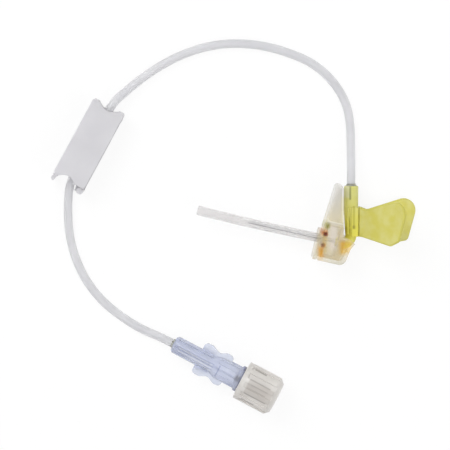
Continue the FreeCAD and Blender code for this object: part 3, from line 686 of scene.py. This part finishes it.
@dataclass
class Tubing:
    """Clear tubing from the hub to the luer, hollow, along a route that is read from one smooth spline.

    A ring of cured adhesive stands round it at each socket: it rises from the mouth in steps, and at each
    step it spreads less beyond the tube.
    """

    outside_mm: float = 2.45
    bore_mm: float = 1.4
    sides: int = 40
    steps: int = 12
    length_mm: float = 199.8
    fillet_mm: float = 0.5
    fillet_shares: tuple[float, ...] = (1.0, 0.55, 0.25, 0.04)
    fillet_rises_mm: tuple[float, ...] = (-0.02, 0.12, 0.3, 0.62)
    fillet_play_mm: float = 0.004
    exit_mm: tuple[float, float, float] = (4.8, 15.85, 5.0)
    luer_mouth_mm: tuple[float, float, float] = (-45.75, -29.95, 2.452)
    route_mm: tuple[tuple[float, float, float], ...] = (
        (4.8, 10.85, 5.0), (4.78, 19.0, 5.0), (4.85, 26.8, 2.2), (4.6, 35.0, 1.25), (2.8, 40.75, 1.25),
        (-0.8, 46.05, 1.25), (-5.95, 50.5, 1.25), (-12.6, 53.45, 1.25), (-20.35, 55.62, 1.25),
        (-29.3, 56.35, 1.25), (-37.98, 55.0, 1.25), (-46.2, 51.77, 1.25), (-53.45, 47.32, 1.25),
        (-59.25, 42.65, 1.9), (-63.736, 38.715, 3.3), (-75.320, 17.468, 3.3), (-76.15, 10.3, 1.6),
        (-75.92, 2.05, 1.25), (-74.27, -4.9, 1.25), (-71.12, -11.85, 1.25), (-66.15, -18.15, 1.25),
        (-59.75, -23.1, 1.25), (-54.35, -26.28, 1.35), (-48.924, -28.333, 1.935), (-40.459, -32.646, 3.314),
    )

    def centreline(self) -> list[Vector]:
        """Return the points of the route's spline, in metres, read from a curve without thickness."""
        curve = bpy.data.curves.new("tubing_route", "CURVE")
        curve.dimensions = "3D"
        curve.resolution_u = self.steps
        spline = curve.splines.new("NURBS")
        spline.points.add(len(self.route_mm) - 1)
        for point, place in zip(spline.points, self.route_mm):
            point.co = (*(value * MM for value in place), 1.0)
        spline.order_u = 3
        spline.use_endpoint_u = True
        guide = bpy.data.objects.new("tubing_route", curve)
        line = bpy.data.meshes.new_from_object(guide)
        points = [vertex.co.copy() for vertex in line.vertices]
        bpy.data.objects.remove(guide)
        bpy.data.curves.remove(curve)
        bpy.data.meshes.remove(line)
        return points

    def fillet(self, name: str, centre: Vector, away: Vector) -> bpy.types.Object:
        """Make the ring of adhesive that creeps up the tube where it enters a socket.

        Args:
            name: the ring's name.
            centre: the middle of the socket's mouth, in metres.
            away: the direction out of the socket.

        Returns:
            The ring's object.
        """
        line = [centre + away.normalized() * rise * MM for rise in self.fillet_rises_mm]
        widths = [self.outside_mm + 2 * share * self.fillet_mm for share in self.fillet_shares]
        mesh = hollow_tube(line, widths, self.outside_mm + self.fillet_play_mm, self.sides)
        return new_piece(name, mesh, Body.HUB, CURED_ACRYLIC)

    def build(self) -> bpy.types.Object:
        """Returns:
            The tubing's object.
        """
        line = self.centreline()
        tube = new_piece(
            "tube", hollow_tube(line, [self.outside_mm] * len(line), self.bore_mm, self.sides),
            Body.HUB, CLEAR_PVC)
        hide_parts("tubing")
        hub_mouth = Vector(self.exit_mm) * MM
        self.fillet("hub_adhesive", hub_mouth, Vector((0.0, 1.0, 0.0)))
        luer_mouth = Vector(self.luer_mouth_mm) * MM
        way_out = line[-self.steps] - line[-1]
        self.fillet("luer_adhesive", luer_mouth, way_out)
        return tube


@dataclass
class Sheath:
    """The clear tube over the needle, faintly bowed as it came off the reel."""

    seat_mm: float = 4.35
    length_mm: float = 35.6
    seat_outside_mm: float = 2.55
    tip_outside_mm: float = 2.8
    bore_mm: float = 1.7
    bow_mm: float = 0.24
    height_mm: float = 5.0
    edge_mm: float = 0.12
    sides: int = 48
    steps: int = 48

    def build(self) -> bpy.types.Object:
        """Make the sheath in place of its straight solid.

        Returns:
            The sheath's object.
        """
        shares = [0.0, self.edge_mm / self.length_mm]
        shares += [step / self.steps for step in range(1, self.steps)]
        shares += [1 - self.edge_mm / self.length_mm, 1.0]
        line, widths = [], []
        for share in shares:
            bow = -self.bow_mm * math.sin(math.pi * share)
            line.append(HeadAxes.place(-self.seat_mm - share * self.length_mm, bow, self.height_mm))
            widths.append(self.seat_outside_mm + share * (self.tip_outside_mm - self.seat_outside_mm))
        for end in (0, -1):
            widths[end] -= 2 * self.edge_mm
        mesh = hollow_tube(line, widths, self.bore_mm, self.sides)
        sheath = new_piece("sheath_tube", mesh, Body.SHEATH, CLEAR_POLYETHYLENE)
        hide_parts("needle_sheath")
        return sheath


def smooth_step(value: float, low: float, high: float) -> float:
    """Return 0 below low, 1 above high, and a smooth rise between them."""
    share = min(max((value - low) / (high - low), 0.0), 1.0)
    return share * share * (3 - 2 * share)


@dataclass
class Wing:
    """One soft wing: a plate with a rounded, slightly thicker rim, and a round root that it folds about."""

    name: str
    node: str
    body: Body
    joint: str
    fold_degrees: float
    toe_mm: tuple[float, float, float]
    ripple_mm: float
    heel_mm: tuple[float, float, float] = (11.1, -2.1, 0.9)
    tip_mm: tuple[float, float, float] = (17.85, 3.8, 3.5)
    shoulder_mm: tuple[float, float, float] = (2.1, -0.8, 1.5)
    root_mm: float = 8.3
    bead_mm: float = 0.72
    half_mm: float = 0.45
    rim_mm: float = 0.12
    edge_mm: float = 0.3
    edge_share: float = 0.45
    least_half_mm: float = 0.02
    rim_band_mm: tuple[float, float] = (0.5, 1.5)
    neck_mm: tuple[float, float] = (0.2, 0.9)
    free_mm: tuple[float, float] = (2.0, 8.0)
    waves_mm: tuple[float, float] = (3.4, 4.1)
    arc_steps: int = 18
    spacing_mm: float = 0.25
    deepest_mm: float = 9.0
    centre_mm: tuple[float, float] = (6.5, 4.3)
    insets_mm: tuple[float, ...] = (0.0, 0.05, 0.12, 0.22, 0.36, 0.6, 0.95, 1.4)
    shares: tuple[float, ...] = (0.3, 0.5, 0.68, 0.84)

    def outline(self) -> list[Vector]:
        """Return evenly spaced points round the wing, as places out from its fold and up its root.

        Each corner is such a place with the radius that rounds it. The tip and the shoulder are placed
        from the root's upper end, the heel and the toe from its lower end.
        """
        tip_out, tip_up, tip_radius = self.tip_mm
        shoulder_out, shoulder_up, shoulder_radius = self.shoulder_mm
        corners = [
            (-self.bead_mm, 0.0, 0.0),
            (0.0, 0.0, 0.0),
            self.heel_mm,
            self.toe_mm,
            (tip_out, self.root_mm + tip_up, tip_radius),
            (shoulder_out, self.root_mm + shoulder_up, shoulder_radius),
            (0.0, self.root_mm, 0.0),
            (-self.bead_mm, self.root_mm, 0.0),
        ]
        points: list[Vector] = []
        for index, (x, y, radius) in enumerate(corners):
            here = Vector((x, y))
            if not radius:
                points.append(here)
                continue
            before = (Vector(corners[index - 1][:2]) - here).normalized()
            after = (Vector(corners[(index + 1) % len(corners)][:2]) - here).normalized()
            half = before.angle(after) / 2
            inward = (before + after).normalized()
            centre = here + inward * (radius / math.sin(half))
            first = (here + before * (radius / math.tan(half))) - centre
            last = (here + after * (radius / math.tan(half))) - centre
            for step in range(self.arc_steps + 1):
                out = first.lerp(last, step / self.arc_steps).normalized()
                points.append(centre + out * radius)
        spaced: list[Vector] = []
        for before, after in zip(points, points[1:] + points[:1]):
            parts = max(1, round((after - before).length / self.spacing_mm))
            spaced += [before.lerp(after, part / parts) for part in range(parts)]
        return spaced

    def half_thickness(self, place: Vector, inside_mm: float) -> float:
        """Return half the wing's thickness at a place.

        Args:
            place: out from the fold and up the root, in millimetres.
            inside_mm: how far the place is from the outline.

        Returns:
            The height above the wing's middle plane, in millimetres.
        """
        open_edge = 1 - min(inside_mm / self.edge_mm, 1.0)
        rise = self.edge_share + (1 - self.edge_share) * math.sqrt(1 - open_edge * open_edge)
        plate = (self.half_mm + self.rim_mm * (1 - smooth_step(inside_mm, *self.rim_band_mm))) * rise
        bead = math.sqrt(max(self.bead_mm ** 2 - place.x ** 2, 0.0))
        neck = smooth_step(place.x, *self.neck_mm)
        return max(bead, plate * neck, self.least_half_mm)

    def ripple(self, place: Vector) -> float:
        """Return how far the soft plate strays from its plane at a place, in millimetres."""
        free = smooth_step(place.x, *self.free_mm)
        phase = place.x / self.waves_mm[0] + place.y / self.waves_mm[1] + self.fold_degrees
        return self.ripple_mm * free * math.sin(phase)

    def build(self) -> bpy.types.Object:
        """Make the wing in place of its plain solid.

        Returns:
            The wing's object.
        """
        joints = frame["record"]["behaviour"]["joints"]
        hinge = Vector(next(joint["pos_m"] for joint in joints if joint["name"] == self.joint))
        origin = hinge - Vector((0.0, self.root_mm / 2 * MM, 0.0))
        fold = math.radians(self.fold_degrees)
        outline = self.outline()
        centre = Vector(self.centre_mm)

        def from_edge(place: Vector) -> float:
            """Return the distance from a place to the outline."""
            best = math.inf
            for before, after in zip(outline, outline[1:] + outline[:1]):
                run = after - before
                share = min(max((place - before).dot(run) / run.length_squared, 0.0), 1.0)
                best = min(best, (place - before - run * share).length)
            return best

        def lifted(place: Vector, height: float) -> Vector:
            """Return the wing's place, with a height over its middle plane, in the part's axes."""
            out = place.x * math.cos(fold) - height * math.sin(fold)
            up = place.x * math.sin(fold) + height * math.cos(fold)
            return origin + Vector((out, place.y, up)) * MM

        shell = bmesh.new()
        rims = shell.verts.layers.float.new(RIM_DISTANCE)
        loops: dict[int, list[list[bmesh.types.BMVert]]] = {1: [], -1: []}
        last_inset = self.insets_mm[-1]
        for step in range(len(self.insets_mm) + len(self.shares)):
            ring = []
            for point in outline:
                way = centre - point
                if step < len(self.insets_mm):
                    ring.append(point + way.normalized() * self.insets_mm[step])
                else:
                    inner = point + way.normalized() * last_inset
                    ring.append(inner.lerp(centre, self.shares[step - len(self.insets_mm)]))
            gaps = [from_edge(place) if step else 0.0 for place in ring]
            for face, layers in loops.items():
                verts = []
                for place, gap in zip(ring, gaps):
                    height = face * self.half_thickness(place, gap) + self.ripple(place)
                    vert = shell.verts.new(lifted(place, height))
                    vert[rims] = gap
                    verts.append(vert)
                layers.append(verts)
        count = len(outline)
        for face, layers in loops.items():
            for outer, inner in zip(layers, layers[1:]):
                for index in range(count):
                    following = (index + 1) % count
                    shell.faces.new((outer[index], outer[following], inner[following], inner[index]))
            height = face * self.half_thickness(centre, self.deepest_mm) + self.ripple(centre)
            middle = shell.verts.new(lifted(centre, height))
            middle[rims] = self.deepest_mm
            for index in range(count):
                shell.faces.new((layers[-1][index], layers[-1][(index + 1) % count], middle))
        upper, lower = loops[1][0], loops[-1][0]
        for index in range(count):
            following = (index + 1) % count
            shell.faces.new((upper[index], upper[following], lower[following], lower[index]))
        bmesh.ops.recalc_face_normals(shell, faces=shell.faces)
        mesh = bpy.data.meshes.new(self.name)
        shell.to_mesh(mesh)
        shell.free()
        wing = new_piece(self.name, mesh, self.body, YELLOW_SOFT_PVC)
        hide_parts(self.node)
        return wing


@dataclass
class Mouldings:
    """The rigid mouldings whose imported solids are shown, each with rounded edges and its own finish."""

    edge_mm: float = 0.12
    ribbed_edge_mm: float = 0.05
    ribbed: tuple[str, ...] = ("luer_connector", "luer_cap")

    def build(self) -> None:
        """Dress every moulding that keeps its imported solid."""
        finishes = {
            "hub_body": YELLOW_POLYCARBONATE,
            "guard_shell": CLEAR_COPOLYESTER,
            "foot_plate": CLEAR_COPOLYESTER,
            "latch_clip": ORANGE_POLYPROPYLENE,
            "clamp_base": MILKY_POLYPROPYLENE,
            "clamp_lever": MILKY_POLYPROPYLENE,
            "luer_connector": LAVENDER_ABS,
            "luer_cap": CLOUDY_POLYPROPYLENE,
            "needle_cannula": STEEL,
        }
        for name, finish in finishes.items():
            dress(NODES[name], finish)
            if name != "needle_cannula":
                soften_edges(NODES[name], self.ribbed_edge_mm if name in self.ribbed else self.edge_mm)
            LOG.info("dressed %s in %s", name, finish.name)


@dataclass
class Studio:
    """A pale floor, a white surround, soft lamps and the camera that looks down on the set."""

    target_mm: tuple[float, float, float] = (-31.09, 4.62, 5.0)
    distance_mm: float = 600.0
    tilt_degrees: float = 5.4
    lens_mm: float = 168.4
    floor_mm: float = 4000.0
    floor_gap_mm: float = 0.02
    floor_glow: float = 0.88
    world_level: float = 0.62

    def camera(self) -> None:
        """Place the camera at the photograph's angle and distance."""
        data = bpy.data.cameras.new("camera")
        data.lens = self.lens_mm
        data.sensor_width = 36.0
        data.clip_start = 0.01
        data.clip_end = 20.0
        camera = bpy.data.objects.new("camera", data)
        bpy.context.scene.collection.objects.link(camera)
        tilt = math.radians(self.tilt_degrees)
        back = Vector((0.0, math.sin(tilt), math.cos(tilt)))
        camera.location = (Vector(self.target_mm) + back * self.distance_mm) * MM
        camera.rotation_euler = (-tilt, 0.0, 0.0)
        bpy.context.scene.camera = camera

    @staticmethod
    def direct_rays(tree: bpy.types.NodeTree) -> bpy.types.NodeSocket:
        """Return 1 for rays that show the background itself: seen, mirrored or through clear plastic.

        Args:
            tree: the node tree of the floor or the world.

        Returns:
            A value output.
        """
        path = add_node(tree, "LightPath")
        seen = add_node(tree, "Math", {
            0: path.outputs["Is Camera Ray"],
            1: path.outputs["Is Glossy Ray"],
        }, operation="MAXIMUM")
        return add_node(tree, "Math", {
            0: seen.outputs[0],
            1: path.outputs["Is Transmission Ray"],
        }, operation="MAXIMUM").outputs[0]

    def floor(self) -> None:
        """Lay the floor: matt white, with enough glow in the background's rays to stay white."""
        half = self.floor_mm / 2 * MM
        mesh = bpy.data.meshes.new("floor")
        corners = [(-half, -half, 0), (half, -half, 0), (half, half, 0), (-half, half, 0)]
        mesh.from_pydata(corners, [], [(0, 1, 2, 3)])
        floor = bpy.data.objects.new("floor", mesh)
        floor.location.z = -self.floor_gap_mm * MM
        bpy.context.scene.collection.objects.link(floor)
        made = bpy.data.materials.new("floor_paper_matt")
        made.use_nodes = True
        tree = made.node_tree
        tree.nodes.clear()
        grain = add_node(tree, "TexNoise", {"Scale": per_metre(2.0), "Detail": 2.0})
        paper = add_node(tree, "BsdfDiffuse", {
            "Color": blend_ramp(tree, grain.outputs["Fac"], [(0.3, "#FDFDFD"), (0.7, "#FFFFFF")]),
        })
        glow = add_node(tree, "Emission", {"Color": (1.0, 1.0, 1.0, 1.0), "Strength": 1.0})
        share = add_node(tree, "Math", {
            0: self.direct_rays(tree),
            1: self.floor_glow,
        }, operation="MULTIPLY")
        mixed = add_node(tree, "MixShader", {
            "Fac": share.outputs[0],
            1: paper.outputs["BSDF"],
            2: glow.outputs["Emission"],
        })
        add_node(tree, "OutputMaterial", {"Surface": mixed.outputs["Shader"]})
        mesh.materials.append(made)

    def surround(self) -> None:
        """Light the scene from all round, and show plain white where the background is seen."""
        world = bpy.data.worlds.new("surround")
        world.use_nodes = True
        tree = world.node_tree
        tree.nodes.clear()
        level = range_of(tree, self.direct_rays(tree), (0.0, 1.0), (self.world_level, 1.0))
        sky = add_node(tree, "Background", {"Color": (1.0, 1.0, 1.0, 1.0), "Strength": level})
        add_node(tree, "OutputWorld", {"Surface": sky.outputs["Background"]})
        bpy.context.scene.world = world

    def lamp(self, name: str, place_mm: Sequence[float], size_mm: float, watts: float) -> None:
        """Hang a square soft lamp that faces the set.

        Args:
            name: the lamp's name.
            place_mm: where it hangs.
            size_mm: the length of its side.
            watts: its power.
        """
        data = bpy.data.lights.new(name, "AREA")
        data.shape = "SQUARE"
        data.size = size_mm * MM
        data.energy = watts
        lamp = bpy.data.objects.new(name, data)
        lamp.location = Vector(place_mm) * MM
        aim = Vector(self.target_mm) * MM - lamp.location
        lamp.rotation_euler = aim.to_track_quat("-Z", "Y").to_euler()
        bpy.context.scene.collection.objects.link(lamp)

    def build(self) -> None:
        """Set up the whole studio."""
        bpy.context.scene.view_settings.view_transform = "Standard"
        self.camera()
        self.floor()
        self.surround()
        self.lamp("key_lamp", place_mm=(-380.0, 420.0, 620.0), size_mm=500.0, watts=3.0)
        self.lamp("fill_lamp", place_mm=(420.0, -260.0, 520.0), size_mm=500.0, watts=1.2)


def main() -> None:
    """Build the whole set and its studio."""
    logging.basicConfig(level=logging.INFO, format="%(message)s")
    Studio().build()
    Mouldings().build()
    Tubing().build()
    Sheath().build()
    Wing(
        "soft_wing_upper", "wing_upper", Body.UPPER_WING, "upper_wing_fold",
        fold_degrees=43.0, toe_mm=(13.85, -0.8, 1.4), ripple_mm=0.12,
    ).build()
    Wing(
        "soft_wing_lower", "wing_lower", Body.LOWER_WING, "lower_wing_fold",
        fold_degrees=-11.07, toe_mm=(14.05, -1.6, 1.4), ripple_mm=0.0,
    ).build()


if __name__ == "__main__":
    main()
